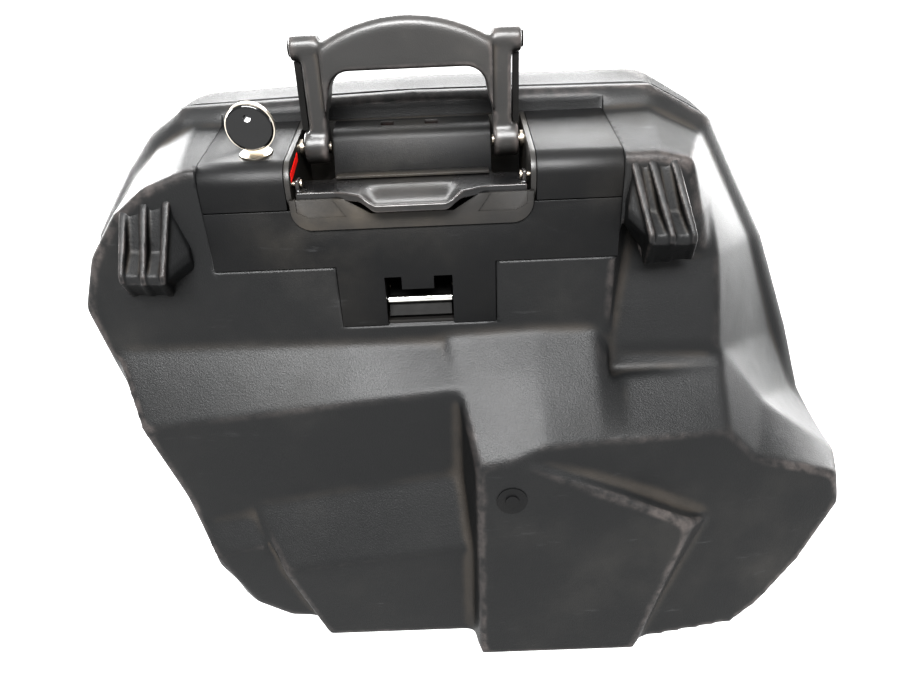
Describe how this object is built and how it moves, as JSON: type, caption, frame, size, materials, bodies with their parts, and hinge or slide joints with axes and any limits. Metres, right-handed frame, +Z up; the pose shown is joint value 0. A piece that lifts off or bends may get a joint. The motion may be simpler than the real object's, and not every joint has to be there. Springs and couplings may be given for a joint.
{
  "type": "hard motorcycle side case",
  "caption": "Hard side case for a motorcycle with a folding carrying handle, key lock, release lever, carrier claw, moulded hanging hooks and a side opening lid.",
  "frame": {"origin": "on the ground plane, in the middle of the case's length and depth", "axes": "+X along the case to the right as seen from the machine side, +Y from the machine side to the outer lid, +Z up with the handle raised"},
  "size_m": [0.57, 0.256, 0.3995],
  "materials": {
    "tub_plastic": "grained black polyethylene",
    "panel_plastic": "fine satin grain",
    "bezel_plastic": "smooth black",
    "handle_plastic": "satin black",
    "lever_plastic": "smooth black with a sheen",
    "lever_gloss": "polished by use",
    "rubber_black": "matt",
    "red_plastic": "signal red",
    "key_plastic": "smooth black",
    "pin_steel": "zinc plated",
    "lock_nickel": "nickel plated, a little worn",
    "bright_bar": "polished",
    "black_metal": "black coated steel"
  },
  "bodies": {
    "case": {"inner_shell": "tub_plastic", "rim_seal": "rubber_black", "front_plate": "panel_plastic", "lock_cover": "panel_plastic", "plain_cover": "panel_plastic", "centre_cover": "panel_plastic", "handle_bezel": "bezel_plastic", "blanking_plug": "panel_plastic", "mechanism_frame": "bezel_plastic", "latch_pocket": "bezel_plastic", "pivot_pins": "pin_steel", "lever_pins": "pin_steel", "claw_pin": "pin_steel", "lock_barrel": "lock_nickel", "shaft_brackets": "bezel_plastic", "hinge_brackets": "black_metal", "hinge_pins": "pin_steel", "bracket_screws": "pin_steel"},
    "handle": {"handle_arms": "handle_plastic", "grip": "handle_plastic", "handle_struts": "black_metal", "ear_pins": "black_metal"},
    "lid": {"outer_lid": "tub_plastic", "hinge_leaves": "black_metal", "strikers": "pin_steel", "corner_bumper": "rubber_black"},
    "key": {"lock_plug": "lock_nickel", "key_blade": "lock_nickel", "key_head": "key_plastic", "key_rim": "lock_nickel"},
    "bolt": {"lock_flag": "red_plastic"},
    "lever": {"release_lever": "lever_plastic", "finger_tab": "lever_gloss"},
    "lid_latch": {"latch_shaft": "pin_steel", "lid_hooks": "pin_steel"},
    "claw": {"latch_claw": "black_metal", "latch_bar": "bright_bar"},
    "indicator": {"indicator_slide": "red_plastic"}
  },
  "joints": [
    {"name": "handle_fold", "type": "hinge", "parent": "case", "child": "handle", "pos_m": [-0.041, -0.018, 0.3275], "axis": [1, 0, 0], "range_deg": [0, 88]},
    {"name": "lid_open", "type": "hinge", "parent": "case", "child": "lid", "pos_m": [0, 0.0245, 0.055], "axis": [-1, 0, 0], "range_deg": [0, 45]},
    {"name": "key_turn", "type": "hinge", "parent": "case", "child": "key", "pos_m": [-0.131, -0.042, 0.33008], "axis": [0, -0.1908, 0.9816], "range_deg": [0, 90]},
    {"name": "bolt_slide", "type": "slide", "parent": "case", "child": "bolt", "axis": [-1, 0, 0], "range_m": [0, 0.0026]},
    {"name": "lever_pull", "type": "hinge", "parent": "case", "child": "lever", "pos_m": [-0.041, -0.055, 0.3145], "axis": [-1, 0, 0], "range_deg": [0, 12], "stiffness_Nm_per_rad": 0.3, "springref_deg": -5.73},
    {"name": "latch_turn", "type": "hinge", "parent": "case", "child": "lid_latch", "pos_m": [-0.041, 0.0152, 0.336], "axis": [1, 0, 0], "range_deg": [0, 12.5]},
    {"name": "claw_swing", "type": "hinge", "parent": "case", "child": "claw", "pos_m": [-0.04, -0.03, 0.238], "axis": [-1, 0, 0], "range_deg": [0, 23]},
    {"name": "indicator_move", "type": "slide", "parent": "case", "child": "indicator", "axis": [0, 0.9816, 0.1908], "range_m": [0, 0.0022]}
  ],
  "couplings": [
    {"joint": "bolt_slide", "follows": "key_turn", "m_per_rad": 0.0016},
    {"joint": "latch_turn", "follows": "lever_pull", "ratio": 1},
    {"joint": "claw_swing", "follows": "handle_fold", "ratio": 0.25},
    {"joint": "indicator_move", "follows": "handle_fold", "m_per_rad": 0.0014}
  ]
}
